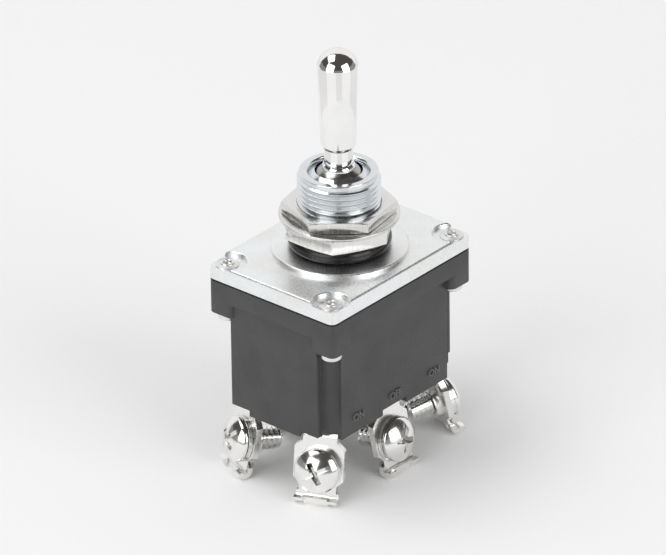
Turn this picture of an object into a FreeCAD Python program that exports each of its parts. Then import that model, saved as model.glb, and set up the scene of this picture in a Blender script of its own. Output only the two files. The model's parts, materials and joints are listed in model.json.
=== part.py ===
import FreeCAD, Part
import math
import os
import re
import Sketcher

# Panel toggle switch with two poles and three positions, on - off - on.
# Millimetres and degrees. The switch stands on the ends of its terminals:
# the origin is on that plane, below the middle of the case, and the lever
# points up. +X is the way the lever tilts, Y runs from pole to pole.

doc = FreeCAD.newDocument("toggle_switch")
sheet = doc.addObject("Spreadsheet::Sheet", "Dimensions")

dims = {
    # Pressed steel cover
    "cover_length": 30.44,
    "cover_width": 23.1,
    "cover_corner": 1.0,
    "cover_edge": 2.4,
    "cover_sheet": 1.2,
    "cover_round": 0.35,
    "dish_radius": 9.83,
    "dish_rise": 0.6,
    "pad_radius": 2.7,
    "pad_drop": 0.54,
    # Corner rivets
    "rivet_inset": 2.0,
    "rivet_shank": 1.3,
    "rivet_head": 1.74,
    "rivet_rim": 0.16,
    "rivet_head_rise": 0.42,
    "rivet_lip": 1.0,
    "rivet_eye": 0.66,
    "rivet_eye_depth": 0.55,
    "rivet_roll": 1.5,
    "rivet_roll_rise": 1.2,
    "rivet_roll_eye": 0.9,
    "rivet_roll_depth": 0.6,
    # Insulating gasket under the cover
    "gasket_thickness": 0.3,
    "gasket_inset": 0.15,
    "throat_length": 10.8,
    "throat_width": 6.4,
    # Moulded case
    "case_length": 28.2,
    "case_width": 20.0,
    "case_depth": 20.1,
    "draft_angle": 0.4,
    "case_wall": 1.8,
    "floor_thickness": 3.2,
    "cavity_corner": 2.6,
    "barrier_thickness": 1.4,
    "barrier_height": 8.3,
    "flange_height": 2.9,
    "lug_side": 4.4,
    "lug_height": 5.09,
    "groove_radius": 1.6,
    "end_pad_rise": 0.5,
    "end_pad_step": 2.3,
    # Threaded bushing and its flange
    "bushing_radius": 5.953,
    "bushing_height": 14.75,
    "bushing_lip": 0.45,
    "mouth_chamfer": 0.35,
    "flange_radius": 8.8,
    "flange_thickness": 1.15,
    "hole_clearance": 0.05,
    # Seal ring, nuts and washer on the bushing
    "seal_radius": 7.4,
    "seal_height": 2.15,
    "seal_round": 1.0,
    "nut_flats": 14.29,
    "nut_chamfer": 0.22,
    "lower_nut_height": 2.45,
    "lower_nut_turn": 33.6,
    "upper_nut_height": 1.7,
    "upper_nut_turn": 10.0,
    "washer_radius": 8.6,
    "washer_thickness": 0.45,
    "thread_clearance": 0.05,
    "face_gap": 0.05,
    # Lever with its ball, and the cross pin through the ball
    "ball_radius": 4.35,
    "ball_clearance": 0.06,
    "ball_height": 11.6,
    "collar_radius": 2.4,
    "neck_radius": 2.08,
    "neck_start": 15.9,
    "neck_top": 18.36,
    "bat_shoulder": 0.5,
    "bat_lower_radius": 2.5,
    "bat_upper_radius": 2.96,
    "bat_top": 31.4,
    "lever_top": 33.6,
    "tail_radius": 1.4,
    "lever_throw": 12.5,
    "pin_radius": 0.8,
    "pin_length": 10.2,
    "pin_clearance": 0.05,
    # Moulded actuator on the lever's tail
    "actuator_drop": 1.6,
    "actuator_length": 5.2,
    "actuator_gap": 0.9,
    "actuator_height": 5.4,
    "actuator_chamfer": 0.5,
    "tail_cover": 0.8,
    # Plungers and their springs
    "plunger_radius": 1.4,
    "plunger_clearance": 0.05,
    "bore_depth": 4.6,
    "spring_room": 3.0,
    "spring_radius": 0.97,
    "spring_wire": 0.34,
    "spring_turns": 3.5,
    # Rocking contacts
    "rocker_gap": 0.1,
    "rocker_thickness": 0.9,
    "rocker_width": 4.2,
    "rocker_share": 0.5,
    "rocker_track": 5.4,
    "rocker_step": 0.55,
    "arm_start": 7.0,
    "arm_end": 10.4,
    "contact_offset": 8.6,
    "button_radius": 1.5,
    "button_height": 0.5,
    "trunnion_radius": 0.8,
    "trunnion_clearance": 0.05,
    # Support that carries a rocking contact
    "support_wall": 0.7,
    "support_base": 0.9,
    "support_gap": 0.25,
    "support_margin": 0.15,
    "support_length": 3.4,
    # Rivets through the floor
    "contact_rise": 1.9,
    "contact_gap": 1.1,
    "contact_radius": 1.8,
    "contact_dome": 0.3,
    "shank_radius": 1.0,
    "stake_radius": 1.6,
    "stake_height": 0.5,
    "support_rivet_head": 1.5,
    "support_rivet_rise": 0.6,
    # Terminals
    "terminal_thickness": 0.9,
    "terminal_splay": 12.0,
    "terminal_fan": 23.0,
    "end_tab_reach": 12.6,
    "middle_tab_inset": 1.5,
    "neck_width": 5.0,
    "tab_width": 7.4,
    "shoulder_start": 0.9,
    "shoulder_end": 1.9,
    "foot_margin": 1.8,
    "channel_clearance": 0.1,
    "bend_radius": 0.5,
    "curl_radius": 0.45,
    "curl_angle": 165.0,
    "prong_width": 1.5,
    # Terminal screws with their washers
    "screw_drop": 5.0,
    "screw_radius": 1.753,
    "screw_clearance": 0.05,
    "screw_reach": 5.9,
    "screw_head": 3.3,
    "screw_rim": 0.55,
    "screw_dome": 1.35,
    "slot_width": 0.85,
    "slot_depth": 0.9,
    "cross_length": 3.6,
    "clamp_washer_radius": 3.35,
    "clamp_washer_thickness": 0.6,
    "clamp_washer_margin": 0.37,
    "collar_outer": 2.5,
    "collar_length": 1.1,
}

for row, (alias, number) in enumerate(dims.items(), 1):
    sheet.set(f"A{row}", alias)
    sheet.set(f"B{row}", str(number))
    sheet.setAlias(f"B{row}", alias)
doc.recompute()

word = re.compile(r"\b(" + "|".join(dims) + r")\b")


def cells(text):
    """The same formula with each size read from the sheet."""
    return word.sub(r"Dimensions.\1", text)


def num(text):
    return float(sheet.evalExpression(cells(text)))


def bind(obj, prop, text):
    obj.setExpression(prop, cells(text))


# Places that several pieces share, as formulas of the sizes above. The case's
# underside lies as high as the splayed tabs and the curls at their ends reach
# down, and the seat, the cover's lower face, lies on the gasket on the case.
tab_drop = "(screw_drop + clamp_washer_radius + clamp_washer_margin)"
case_base = (
    f"({tab_drop} * cos(terminal_splay) - curl_radius * sin(terminal_splay)"
    " + curl_radius + terminal_thickness)"
)
case_top = f"({case_base} + case_depth)"
seat = f"({case_top} + gasket_thickness)"
rivet_x = "(cover_length / 2 - rivet_inset)"
rivet_y = "(cover_width / 2 - rivet_inset)"
case_floor = f"({case_base} + floor_thickness)"
lug_base = f"({case_top} - lug_height)"
cavity_length = "(case_length - 2 * case_wall)"
cavity_width = "(case_width - 2 * case_wall)"
dish_top = f"({seat} + cover_edge + dish_rise)"
lower_nut_base = f"({dish_top} + seal_height)"
washer_base = f"({lower_nut_base} + lower_nut_height + face_gap)"
upper_nut_base = f"({washer_base} + washer_thickness + face_gap)"
ball_centre = f"({seat} + ball_height)"
actuator_base = f"({seat} - actuator_drop - actuator_height)"
# The rocker's arms lie over the fixed contacts, and the plungers over the rocker
rocker_top = (
    f"({case_floor} + contact_rise + contact_gap + button_height + rocker_thickness + rocker_step)"
)
rocker_pivot = f"({rocker_top} - rocker_thickness)"
plunger_tip = f"({rocker_top} + rocker_gap)"
plunger_length = f"({actuator_base} + bore_depth - spring_room - {plunger_tip})"
# The nose runs round the ball while the rocker tips against it, and this
# track's radius keeps the gap between the two
nose_path = f"({ball_centre} - {plunger_tip} - plunger_radius)"
track_radius = f"({nose_path} / (1 + 2 * rocker_share) + plunger_radius + rocker_gap)"
track_rise = f"({track_radius} - sqrt({track_radius} ^ 2 - rocker_track ^ 2))"
support_half = "(rocker_width / 2 + support_gap + support_wall)"
# Each pole's works stand beside the case's long wall
pole_offset = f"({cavity_width} / 2 - support_margin - {support_half})"
actuator_width = f"({cavity_width} - 2 * actuator_gap)"
middle_tab_reach = "(case_width / 2 - middle_tab_inset)"
# The end terminals fan out from the fixed contacts' rivets towards the corners
fan_reach = "((end_tab_reach - contact_offset) / cos(terminal_fan))"
terminal_row = f"({pole_offset} + {fan_reach} * sin(terminal_fan))"


def new_body(label):
    body = doc.addObject("PartDesign::Body", label)
    body.Label = label
    return body


def new_sketch(body, name, role, offset=None):
    """A sketch on one of the body's own origin planes, moved along its normal by offset."""
    plane = [f for f in body.Origin.OriginFeatures if f.Role == role][0]
    sketch = body.newObject("Sketcher::SketchObject", name)
    sketch.AttachmentSupport = [(plane, "")]
    sketch.MapMode = "FlatFace"
    if offset:
        bind(sketch, "AttachmentOffset.Base.z", offset)
    return sketch


def hold(sketch, kind, geometry, point, text):
    """Ties one coordinate of a point to a formula."""
    index = sketch.addConstraint(
        Sketcher.Constraint(kind, -1, 1, geometry, point, num(text))
    )
    bind(sketch, f"Constraints[{index}]", text)


def outline(sketch, path):
    """A closed outline through the corners in path.

    A corner is a pair of formulas. A corner with a third and a fourth item
    starts an arc of that radius, whose centre lies left (1) or right (-1).
    """
    first = sketch.GeometryCount
    spots = [FreeCAD.Vector(num(c[0]), num(c[1]), 0) for c in path]
    ends = []
    for i, corner in enumerate(path):
        a = spots[i]
        b = spots[(i + 1) % len(path)]
        if len(corner) == 2:
            sketch.addGeometry(Part.LineSegment(a, b))
            ends.append((1, 2))
            continue
        radius = num(corner[2])
        side = corner[3]
        chord = b - a
        left = FreeCAD.Vector(-chord.y, chord.x, 0).normalize()
        height = math.sqrt(max(radius ** 2 - (chord.Length / 2) ** 2, 0))
        centre = (a + b) * 0.5 + left * (side * height)
        start, stop = (a, b) if side > 0 else (b, a)
        low = math.atan2(start.y - centre.y, start.x - centre.x)
        high = math.atan2(stop.y - centre.y, stop.x - centre.x)
        if high < low:
            high += 2 * math.pi
        ring = Part.Circle(centre, FreeCAD.Vector(0, 0, 1), radius)
        sketch.addGeometry(Part.ArcOfCircle(ring, low, high))
        ends.append((1, 2) if side > 0 else (2, 1))
    for i in range(len(path)):
        after = (i + 1) % len(path)
        sketch.addConstraint(
            Sketcher.Constraint("Coincident", first + i, ends[i][1], first + after, ends[after][0])
        )
    for i, corner in enumerate(path):
        hold(sketch, "DistanceX", first + i, ends[i][0], corner[0])
        hold(sketch, "DistanceY", first + i, ends[i][0], corner[1])
        if len(corner) > 2:
            index = sketch.addConstraint(
                Sketcher.Constraint("Radius", first + i, num(corner[2]))
            )
            bind(sketch, f"Constraints[{index}]", corner[2])


def rectangle(sketch, x, y, length, width, corner=None):
    """A rectangle about (x, y), with round corners if corner is given."""
    left, right = f"{x} - {length} / 2", f"{x} + {length} / 2"
    low, high = f"{y} - {width} / 2", f"{y} + {width} / 2"
    if corner is None:
        outline(sketch, [(left, low), (right, low), (right, high), (left, high)])
        return
    outline(sketch, [
        (f"{left} + {corner}", low),
        (f"{right} - {corner}", low, corner, 1),
        (right, f"{low} + {corner}"),
        (right, f"{high} - {corner}", corner, 1),
        (f"{right} - {corner}", high),
        (f"{left} + {corner}", high, corner, 1),
        (left, f"{high} - {corner}"),
        (left, f"{low} + {corner}", corner, 1),
    ])


def circle(sketch, x, y, radius):
    spot = FreeCAD.Vector(num(x), num(y), 0)
    index = sketch.addGeometry(Part.Circle(spot, FreeCAD.Vector(0, 0, 1), num(radius)))
    hold(sketch, "DistanceX", index, 3, x)
    hold(sketch, "DistanceY", index, 3, y)
    size = sketch.addConstraint(Sketcher.Constraint("Radius", index, num(radius)))
    bind(sketch, f"Constraints[{size}]", radius)


def corner_circles(sketch, radius):
    """One circle about each corner rivet."""
    for x in (rivet_x, f"-{rivet_x}"):
        for y in (rivet_y, f"-{rivet_y}"):
            circle(sketch, x, y, radius)


def pad(body, sketch, length, down=False, middle=False, taper=None):
    feature = body.newObject("PartDesign::Pad", sketch.Name + "_pad")
    feature.Profile = sketch
    bind(feature, "Length", length)
    feature.Reversed = down
    feature.Midplane = middle
    if taper:
        bind(feature, "TaperAngle", taper)
    doc.recompute()
    return feature


def pocket(body, sketch, length=None, up=False, middle=False):
    """Cuts the sketch out of the body, through all of it if no length is given."""
    before = body.Shape.Volume
    feature = body.newObject("PartDesign::Pocket", sketch.Name + "_cut")
    feature.Profile = sketch
    feature.Reversed = up
    feature.Midplane = middle
    if length:
        bind(feature, "Length", length)
    else:
        feature.Type = "ThroughAll"
    doc.recompute()
    if body.Shape.Volume > before - 1e-6:
        raise RuntimeError(feature.Name + " cuts nothing")
    return feature


def revolve(body, sketch):
    feature = body.newObject("PartDesign::Revolution", sketch.Name + "_turned")
    feature.Profile = sketch
    feature.ReferenceAxis = (sketch, ["V_Axis"])
    feature.Angle = 360
    doc.recompute()
    return feature


def groove(body, sketch):
    before = body.Shape.Volume
    feature = body.newObject("PartDesign::Groove", sketch.Name + "_turned")
    feature.Profile = sketch
    feature.ReferenceAxis = (sketch, ["V_Axis"])
    feature.Angle = 360
    doc.recompute()
    if body.Shape.Volume > before - 1e-6:
        raise RuntimeError(feature.Name + " cuts nothing")
    return feature


def soften(body, kind, size, wanted):
    """A fillet or chamfer on the edges that wanted picks from the body so far."""
    base = body.Tip
    names = [f"Edge{i}" for i, edge in enumerate(base.Shape.Edges, 1) if wanted(edge)]
    feature = body.newObject("PartDesign::" + kind, base.Name + "_" + kind.lower())
    feature.Base = (base, names)
    bind(feature, "Radius" if kind == "Fillet" else "Size", size)
    doc.recompute()
    return feature


def lies_at(edge, height):
    box = edge.BoundBox
    return abs(box.ZMin - height) < 1e-6 and abs(box.ZMax - height) < 1e-6


def turned(label, profile):
    """A body turned about the Z axis from a profile of (radius, height) corners."""
    body = new_body(label)
    sketch = new_sketch(body, label + "_profile", "XZ_Plane")
    outline(sketch, profile)
    revolve(body, sketch)
    return body


def place(body, x="0", y="0", z="0"):
    for axis, text in (("x", x), ("y", y), ("z", z)):
        if text != "0":
            bind(body, f"Placement.Base.{axis}", text)


# Case: a flange flush with the cover, four deep corner lugs, a drafted box with
# a groove down each corner, and a cavity for each pole with a barrier between.
case = new_body("case")
sketch = new_sketch(case, "case_flange", "XY_Plane", case_top)
rectangle(sketch, "0", "0", "cover_length", "cover_width", "cover_corner")
pad(case, sketch, "flange_height", down=True)

sketch = new_sketch(case, "case_lugs", "XY_Plane", case_top)
for x in ("-(cover_length - lug_side) / 2", "(cover_length - lug_side) / 2"):
    for y in ("-(cover_width - lug_side) / 2", "(cover_width - lug_side) / 2"):
        rectangle(sketch, x, y, "lug_side", "lug_side", "cover_corner")
pad(case, sketch, "lug_height", down=True)

sketch = new_sketch(case, "case_box", "XY_Plane", case_top)
rectangle(sketch, "0", "0", "case_length", "case_width", "cover_corner")
pad(case, sketch, "case_depth", down=True, taper="-draft_angle")

# Both end faces stand proud between the grooves; the right one stops short
end_pad_width = "(cover_width - 2 * rivet_inset - 2 * groove_radius)"
end_pad_length = "(case_length / 2 + end_pad_rise)"
for side, sign, depth in (("left", "-", "case_depth"), ("right", "", "case_depth - end_pad_step")):
    sketch = new_sketch(case, f"case_{side}_pad", "XY_Plane", case_top)
    rectangle(sketch, f"{sign}{end_pad_length} / 2", "0", end_pad_length, end_pad_width)
    pad(case, sketch, depth, down=True)

sketch = new_sketch(case, "case_upper_cavity", "XY_Plane", case_top)
rectangle(sketch, "0", "0", cavity_length, cavity_width, "cavity_corner")
pocket(case, sketch, "case_depth - floor_thickness - barrier_height")

# Below the barrier's top the cavity is two bays, side by side
bay_width = "((case_width - 2 * case_wall - barrier_thickness) / 2)"
bay_centre = f"((barrier_thickness + {bay_width}) / 2)"
sketch = new_sketch(case, "case_bays", "XY_Plane", case_top)
for sign in ("-", ""):
    rectangle(sketch, "0", f"{sign}{bay_centre}", cavity_length, bay_width, "cavity_corner")
pocket(case, sketch, "case_depth - floor_thickness")

sketch = new_sketch(case, "case_grooves", "XY_Plane", case_base)
corner_circles(sketch, "groove_radius")
pocket(case, sketch, "case_depth - lug_height", up=True)

sketch = new_sketch(case, "case_rivet_holes", "XY_Plane", case_top)
corner_circles(sketch, "rivet_shank")
pocket(case, sketch, "lug_height")

# Open channels in the underside take the terminals' feet and run out to the faces
middle_foot_in = f"({pole_offset} - foot_margin)"
channel_width = "(neck_width + 2 * channel_clearance)"
sketch = new_sketch(case, "case_channels", "XY_Plane", case_base)
channel_start = "(-foot_margin - channel_clearance)"
channel_stop = f"(({end_pad_length} + 2 - contact_offset) / cos(terminal_fan))"
middle_channel = f"(case_width / 2 + 1 - {middle_foot_in} + channel_clearance)"
middle_channel_y = f"((case_width / 2 + 1 + {middle_foot_in} - channel_clearance) / 2)"
for y in ("-", ""):
    for x in ("-", ""):
        outline(sketch, [
            (f"{x}(contact_offset + {along} * cos(terminal_fan) - {across} * sin(terminal_fan))",
             f"{y}({pole_offset} + {along} * sin(terminal_fan) + {across} * cos(terminal_fan))")
            for along, across in (
                (channel_start, f"(-{channel_width} / 2)"),
                (channel_stop, f"(-{channel_width} / 2)"),
                (channel_stop, f"({channel_width} / 2)"),
                (channel_start, f"({channel_width} / 2)"),
            )
        ])
    rectangle(sketch, "0", f"{y}{middle_channel_y}", channel_width, middle_channel)
pocket(case, sketch, "terminal_thickness", up=True)

sketch = new_sketch(case, "case_floor_holes", "XY_Plane", case_base)
for y in ("-" + pole_offset, pole_offset):
    for x in ("-contact_offset", "0", "contact_offset"):
        circle(sketch, x, y, "shank_radius")
pocket(case, sketch, "floor_thickness", up=True)

# Cover: a cap with a raised dish about the bushing, stepped corners for the
# rivets and a hollow that takes the bushing's flange.
cover = new_body("cover")
sketch = new_sketch(cover, "cover_plate", "XY_Plane")
rectangle(sketch, "0", "0", "cover_length", "cover_width", "cover_corner")
pad(cover, sketch, "cover_edge")
sketch = new_sketch(cover, "cover_corners", "XY_Plane", "cover_edge")
corner_circles(sketch, "pad_radius")
pocket(cover, sketch, "pad_drop")
soften(cover, "Fillet", "cover_round", lambda e: lies_at(e, num("cover_edge")))
sketch = new_sketch(cover, "cover_dish", "XY_Plane")
circle(sketch, "0", "0", "dish_radius")
pad(cover, sketch, "cover_edge + dish_rise")
soften(cover, "Fillet", "cover_round", lambda e: lies_at(e, num("cover_edge + dish_rise")))
sketch = new_sketch(cover, "cover_hollow", "XY_Plane")
hollow_x = "(cover_length / 2 - cover_sheet)"
hollow_y = "(cover_width / 2 - cover_sheet)"
corner_cut = "(2 * pad_radius)"
outline(sketch, [
    (f"-{hollow_x} + {corner_cut}", f"-{hollow_y}"),
    (f"{hollow_x} - {corner_cut}", f"-{hollow_y}"),
    (hollow_x, f"-{hollow_y} + {corner_cut}"),
    (hollow_x, f"{hollow_y} - {corner_cut}"),
    (f"{hollow_x} - {corner_cut}", hollow_y),
    (f"-{hollow_x} + {corner_cut}", hollow_y),
    (f"-{hollow_x}", f"{hollow_y} - {corner_cut}"),
    (f"-{hollow_x}", f"-{hollow_y} + {corner_cut}"),
])
pocket(cover, sketch, "cover_edge - cover_sheet", up=True)
sketch = new_sketch(cover, "cover_holes", "XY_Plane")
circle(sketch, "0", "0", "bushing_radius + hole_clearance")
corner_circles(sketch, "rivet_shank")
pocket(cover, sketch, up=True)
place(cover, z=seat)

# Gasket: fibre sheet with an opening for the lever's swing
gasket = new_body("cover_gasket")
sketch = new_sketch(gasket, "gasket_sheet", "XY_Plane")
rectangle(
    sketch, "0", "0", "(cover_length - 2 * gasket_inset)", "(cover_width - 2 * gasket_inset)",
    "cover_corner",
)
pad(gasket, sketch, "gasket_thickness")
sketch = new_sketch(gasket, "gasket_openings", "XY_Plane")
rectangle(sketch, "0", "0", "throat_length", "throat_width", "cover_corner")
corner_circles(sketch, "rivet_shank")
pocket(gasket, sketch, up=True)
place(gasket, z=case_top)

# Bushing: flange inside the cover, barrel with a bore for the ball, and two
# slots broached up the bore for the cross pin.
ball_bore = "(ball_radius + ball_clearance)"
bushing = turned("bushing", [
    (ball_bore, "0"),
    ("flange_radius", "0"),
    ("flange_radius", "flange_thickness"),
    ("bushing_radius", "flange_thickness"),
    ("bushing_radius", "bushing_height - bushing_lip"),
    ("bushing_radius - bushing_lip", "bushing_height"),
    (f"{ball_bore} + mouth_chamfer", "bushing_height"),
    (ball_bore, "bushing_height - mouth_chamfer"),
])
sketch = new_sketch(bushing, "bushing_slots", "XY_Plane")
rectangle(
    sketch, "0", "0", "(2 * (pin_radius + pin_clearance))", "(pin_length + 4 * pin_clearance)"
)
pocket(bushing, sketch, "ball_height + pin_radius + pin_clearance", up=True)
place(bushing, z=seat)

# Seal ring round the foot of the barrel
seal = turned("bushing_seal", [
    ("bushing_radius", "0"),
    ("seal_radius - seal_round", "0", "seal_round", 1),
    ("seal_radius", "seal_round"),
    ("seal_radius", "seal_height - seal_round", "seal_round", 1),
    ("seal_radius - seal_round", "seal_height"),
    ("bushing_radius", "seal_height"),
])
place(seal, z=dish_top)


def hex_nut(label, height, turn, base):
    """A hexagon nut, its corners chamfered on both faces."""
    body = new_body(label)
    corner = "(nut_flats / sqrt(3))"
    sketch = new_sketch(body, label + "_hexagon", "XY_Plane")
    outline(sketch, [
        (f"{corner} * cos({turn} + {60 * k})", f"{corner} * sin({turn} + {60 * k})")
        for k in range(6)
    ])
    pad(body, sketch, height)
    sketch = new_sketch(body, label + "_bore", "XY_Plane")
    circle(sketch, "0", "0", "bushing_radius + thread_clearance")
    pocket(body, sketch, up=True)
    # The chamfer cone starts at the flats' own radius and leaves them whole
    inner = "(nut_flats / 2)"
    outer = f"({corner} + 0.2)"
    fall = f"(({outer} - {inner}) * nut_chamfer / ({corner} - {inner}))"
    sketch = new_sketch(body, label + "_chamfers", "XZ_Plane")
    outline(sketch, [(inner, height), (outer, f"{height} - {fall}"), (outer, height)])
    outline(sketch, [(inner, "0"), (outer, "0"), (outer, fall)])
    groove(body, sketch)
    place(body, z=base)
    return body


lower_nut = hex_nut("lower_hex_nut", "lower_nut_height", "lower_nut_turn", lower_nut_base)
upper_nut = hex_nut("upper_hex_nut", "upper_nut_height", "upper_nut_turn", upper_nut_base)

washer = turned("panel_washer", [
    ("bushing_radius + thread_clearance", "0"),
    ("washer_radius", "0"),
    ("washer_radius", "washer_thickness"),
    ("bushing_radius + thread_clearance", "washer_thickness"),
])
place(washer, z=washer_base)

# Lever: tail, ball, short collar, neck and a tapered bat with a domed end
tail_end = "(actuator_drop + actuator_height - tail_cover)"
cap_rise = "(lever_top - bat_top)"
lever = turned("lever", [
    ("0", f"-{tail_end}"),
    ("tail_radius", f"-{tail_end}"),
    ("tail_radius", "ball_height - sqrt(ball_radius ^ 2 - tail_radius ^ 2)", "ball_radius", 1),
    ("collar_radius", "ball_height + sqrt(ball_radius ^ 2 - collar_radius ^ 2)"),
    ("neck_radius", "neck_start"),
    ("neck_radius", "neck_top"),
    ("neck_radius + 0.4 * (bat_lower_radius - neck_radius)", "neck_top"),
    ("bat_lower_radius", "neck_top + bat_shoulder"),
    ("bat_upper_radius", "bat_top", f"(bat_upper_radius ^ 2 + {cap_rise} ^ 2) / (2 * {cap_rise})", 1),
    ("0", "lever_top"),
])
sketch = new_sketch(lever, "lever_pin_hole", "XZ_Plane")
circle(sketch, "0", "ball_height", "pin_radius")
pocket(lever, sketch, middle=True)
place(lever, z=seat)

# Cross pin through the ball: its ends turn in the bushing's two slots
pin = new_body("pivot_pin")
sketch = new_sketch(pin, "pin_circle", "XZ_Plane")
circle(sketch, "0", "0", "pin_radius")
pad(pin, sketch, "pin_length", middle=True)
place(pin, z=ball_centre)

# Actuator: a moulded bar pressed on the tail, with a bore down for each plunger
actuator = new_body("actuator")
sketch = new_sketch(actuator, "actuator_bar", "XY_Plane")
rectangle(sketch, "0", "0", "actuator_length", actuator_width, "actuator_chamfer")
pad(actuator, sketch, "actuator_height")
sketch = new_sketch(actuator, "actuator_tail_hole", "XY_Plane", "actuator_height")
circle(sketch, "0", "0", "tail_radius")
pocket(actuator, sketch, "actuator_height - tail_cover")
sketch = new_sketch(actuator, "actuator_bores", "XY_Plane")
for y in ("-" + pole_offset, pole_offset):
    circle(sketch, "0", y, "plunger_radius + plunger_clearance")
pocket(actuator, sketch, "bore_depth", up=True)
place(actuator, z=actuator_base)


def plunger(label, y):
    """A round-nosed plunger that slides in its bore in the actuator."""
    body = turned(label, [
        ("0", "0", "plunger_radius", 1),
        ("plunger_radius", "plunger_radius"),
        ("plunger_radius", plunger_length),
        ("0", plunger_length),
    ])
    place(body, y=y, z=plunger_tip)


def plunger_spring(label, y):
    """A short coil spring between the plunger and the end of its bore."""
    wire = num("spring_wire")
    coil = num("spring_radius")
    room = num("spring_room")
    pitch = (room - 2 * wire) / num("spring_turns")
    lean = math.atan2(pitch, 2 * math.pi * coil)
    # Eight flats round the wire keep its faces plain
    ring = []
    for k in range(9):
        angle = math.pi / 8 + math.pi / 4 * k
        rise = wire / 2 * math.sin(angle)
        ring.append(FreeCAD.Vector(
            coil + wire / 2 * math.cos(angle), -rise * math.sin(lean), rise * math.cos(lean)
        ))
    path = Part.makeHelix(pitch, room - 2 * wire, coil)
    spring = doc.addObject("Part::Feature", label)
    spring.Label = label
    spring.Shape = Part.Wire(path).makePipeShell([Part.makePolygon(ring)], True, True)
    base = num(f"{plunger_tip} + {plunger_length}") + wire
    spring.Placement = FreeCAD.Placement(FreeCAD.Vector(0, num(y), base), FreeCAD.Rotation())


def rocker(label, y):
    """A rocking contact: a strip that dips along the plunger's track, level
    arms with a contact button under each, and a trunnion across its middle."""
    body = new_body(label)
    rise = f"({track_rise} + rocker_thickness)"
    arm = "(rocker_thickness - rocker_step)"
    under = f"({track_radius} + rocker_thickness)"
    sketch = new_sketch(body, label + "_strip", "XZ_Plane")
    outline(sketch, [
        ("-arm_end", arm),
        ("-arm_end", f"{arm} - rocker_thickness"),
        ("-arm_start", f"{arm} - rocker_thickness"),
        ("-rocker_track", track_rise, under, 1),
        ("rocker_track", track_rise),
        ("arm_start", f"{arm} - rocker_thickness"),
        ("arm_end", f"{arm} - rocker_thickness"),
        ("arm_end", arm),
        ("arm_start + 0.3 * rocker_thickness", arm),
        ("rocker_track", rise, track_radius, -1),
        ("-rocker_track", rise),
        ("-arm_start - 0.3 * rocker_thickness", arm),
    ])
    pad(body, sketch, "rocker_width", middle=True)
    sketch = new_sketch(body, label + "_trunnion", "XZ_Plane")
    circle(sketch, "0", "0", "trunnion_radius")
    pad(body, sketch, f"2 * {support_half}", middle=True)
    sketch = new_sketch(body, label + "_buttons", "XY_Plane", arm)
    for x in ("-contact_offset", "contact_offset"):
        circle(sketch, x, "0", "button_radius")
    pad(body, sketch, "rocker_thickness + button_height", down=True)
    place(body, y=y, z=rocker_pivot)


def rocker_support(label, y):
    """A folded bracket on the floor: two cheeks, each with an open notch for
    the rocker's trunnion."""
    body = new_body(label)
    top = f"({rocker_pivot} - {case_floor} + trunnion_radius)"
    inner = f"({support_half} - support_wall)"
    sketch = new_sketch(body, label + "_fold", "YZ_Plane")
    outline(sketch, [
        (f"-{support_half}", "0"),
        (support_half, "0"),
        (support_half, top),
        (inner, top),
        (inner, "support_base"),
        (f"-{inner}", "support_base"),
        (f"-{inner}", top),
        (f"-{support_half}", top),
    ])
    pad(body, sketch, "support_length", middle=True)
    notch = "(trunnion_radius + trunnion_clearance)"
    pivot = f"({rocker_pivot} - {case_floor})"
    sketch = new_sketch(body, label + "_notch", "XZ_Plane")
    outline(sketch, [
        (f"-{notch}", f"{pivot} + 2 * trunnion_radius"),
        (f"-{notch}", pivot, notch, 1),
        ("0", f"{pivot} - {notch}", notch, 1),
        (notch, pivot),
        (notch, f"{pivot} + 2 * trunnion_radius"),
    ])
    pocket(body, sketch, middle=True)
    sketch = new_sketch(body, label + "_hole", "XY_Plane")
    circle(sketch, "0", "0", "shank_radius")
    pocket(body, sketch, up=True)
    place(body, y=y, z=case_floor)


stake_base = "(-stake_height)"


def contact_rivet(label, x, y):
    """A rivet with a tall contact head inside, staked under the terminal's foot."""
    top = "(floor_thickness + contact_rise)"
    dome = "((contact_radius ^ 2 + contact_dome ^ 2) / (2 * contact_dome))"
    body = turned(label, [
        ("0", stake_base),
        ("stake_radius - 0.5 * stake_height", stake_base),
        ("stake_radius", "0"),
        ("shank_radius", "0"),
        ("shank_radius", "floor_thickness"),
        ("contact_radius", "floor_thickness"),
        ("contact_radius", f"{top} - contact_dome", dome, 1),
        ("0", top),
    ])
    place(body, x, y, case_base)


def support_rivet(label, y):
    """A rivet that clamps a rocker's support and the middle terminal's foot."""
    face = "(floor_thickness + support_base)"
    body = turned(label, [
        ("0", stake_base),
        ("stake_radius - 0.5 * stake_height", stake_base),
        ("stake_radius", "0"),
        ("shank_radius", "0"),
        ("shank_radius", face),
        ("support_rivet_head", face),
        ("support_rivet_head - 0.5 * support_rivet_rise", f"{face} + support_rivet_rise"),
        ("0", f"{face} + support_rivet_rise"),
    ])
    place(body, "0", y, case_base)


def corner_rivet(label, x, y):
    """A tubular rivet: a headed eye on top and a rolled end under the lug."""
    grip = f"({case_top} - {lug_base} + gasket_thickness + cover_edge - pad_drop)"
    top = f"({grip} + rivet_head_rise)"
    body = turned(label, [
        ("0", "rivet_roll_depth"),
        ("rivet_roll_eye", "-rivet_roll_rise"),
        ("rivet_roll - 0.2 * rivet_roll_rise", "-rivet_roll_rise"),
        ("rivet_roll", "-0.8 * rivet_roll_rise"),
        ("rivet_roll", "0"),
        ("rivet_shank", "0"),
        ("rivet_shank", grip),
        ("rivet_head", grip),
        ("rivet_head", f"{grip} + rivet_rim"),
        ("rivet_lip + 0.3 * (rivet_head - rivet_lip)", f"{grip} + 1.4 * rivet_rim"),
        ("rivet_lip", top),
        ("rivet_eye + 0.2 * (rivet_lip - rivet_eye)", top),
        ("0.8 * rivet_eye", f"{top} - rivet_eye_depth"),
        ("0", f"{top} - rivet_eye_depth"),
    ])
    place(body, x, y, lug_base)


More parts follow.
